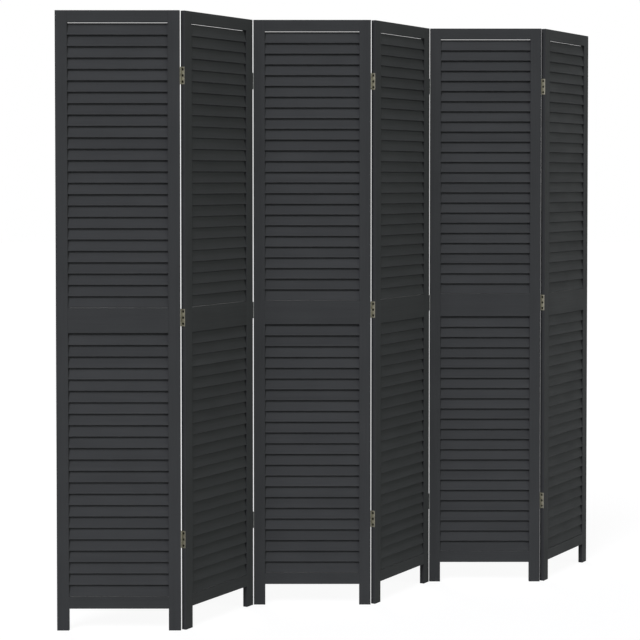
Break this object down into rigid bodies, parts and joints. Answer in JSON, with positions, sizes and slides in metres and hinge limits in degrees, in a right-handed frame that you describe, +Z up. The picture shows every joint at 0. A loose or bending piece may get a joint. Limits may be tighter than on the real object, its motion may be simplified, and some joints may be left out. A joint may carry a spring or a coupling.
{
  "type": "folding screen",
  "caption": "Free-standing louvred folding screen: tall framed panels of leaning slats, joined edge to edge by small brass butt hinges, so it stands in a zigzag or folds flat.",
  "frame": {"origin": "on the floor, below the middle of the standing screen's outline", "axes": "+Z up; +X along the first panel, towards the last; +Y from its front to its back"},
  "size_m": [1.636, 0.9326, 1.75],
  "materials": {
    "frame": "matt dark grey paint",
    "slats": "matt dark grey paint",
    "hinge": "dull brass",
    "pin": "dull brass",
    "screw": "dark brass"
  },
  "bodies": {
    "panel_1": {"panel_1_bottom_rail": "frame", "panel_1_middle_rail": "frame", "panel_1_top_rail": "frame", "panel_1_left_stile": "frame", "panel_1_right_stile": "frame", "panel_1_slats": "slats", "hinge_1_2_left_leaves": "hinge", "hinge_1_2_pins": "pin", "panel_1_hinge_screws": "screw"},
    "panel_2": {"panel_2_bottom_rail": "frame", "panel_2_middle_rail": "frame", "panel_2_top_rail": "frame", "panel_2_left_stile": "frame", "panel_2_right_stile": "frame", "panel_2_slats": "slats", "hinge_1_2_right_leaves": "hinge", "hinge_2_3_left_leaves": "hinge", "hinge_2_3_pins": "pin", "panel_2_hinge_screws": "screw"},
    "panel_3": {"panel_3_bottom_rail": "frame", "panel_3_middle_rail": "frame", "panel_3_top_rail": "frame", "panel_3_left_stile": "frame", "panel_3_right_stile": "frame", "panel_3_slats": "slats", "hinge_2_3_right_leaves": "hinge", "hinge_3_4_left_leaves": "hinge", "hinge_3_4_pins": "pin", "panel_3_hinge_screws": "screw"},
    "panel_4": {"panel_4_bottom_rail": "frame", "panel_4_middle_rail": "frame", "panel_4_top_rail": "frame", "panel_4_left_stile": "frame", "panel_4_right_stile": "frame", "panel_4_slats": "slats", "hinge_3_4_right_leaves": "hinge", "hinge_4_5_left_leaves": "hinge", "hinge_4_5_pins": "pin", "panel_4_hinge_screws": "screw"},
    "panel_5": {"panel_5_bottom_rail": "frame", "panel_5_middle_rail": "frame", "panel_5_top_rail": "frame", "panel_5_left_stile": "frame", "panel_5_right_stile": "frame", "panel_5_slats": "slats", "hinge_4_5_right_leaves": "hinge", "hinge_5_6_left_leaves": "hinge", "hinge_5_6_pins": "pin", "panel_5_hinge_screws": "screw"},
    "panel_6": {"panel_6_bottom_rail": "frame", "panel_6_middle_rail": "frame", "panel_6_top_rail": "frame", "panel_6_left_stile": "frame", "panel_6_right_stile": "frame", "panel_6_slats": "slats", "hinge_5_6_right_leaves": "hinge", "panel_6_hinge_screws": "screw"}
  },
  "joints": [
    {"name": "fold_1_2", "type": "hinge", "parent": "panel_1", "child": "panel_2", "pos_m": [-0.46766, -0.45068, 0.886], "axis": [0, 0, 1], "range_deg": [-59, 121]},
    {"name": "fold_2_3", "type": "hinge", "parent": "panel_2", "child": "panel_3", "pos_m": [-0.27226, -0.15907, 0.886], "axis": [0, 0, -1], "range_deg": [-59, 121]},
    {"name": "fold_3_4", "type": "hinge", "parent": "panel_3", "child": "panel_4", "pos_m": [0.07834, -0.14177, 0.886], "axis": [0, 0, 1], "range_deg": [-59, 121]},
    {"name": "fold_4_5", "type": "hinge", "parent": "panel_4", "child": "panel_5", "pos_m": [0.27375, 0.14984, 0.886], "axis": [0, 0, -1], "range_deg": [-59, 121]},
    {"name": "fold_5_6", "type": "hinge", "parent": "panel_5", "child": "panel_6", "pos_m": [0.62435, 0.16714, 0.886], "axis": [0, 0, 1], "range_deg": [-59, 121]}
  ]
}
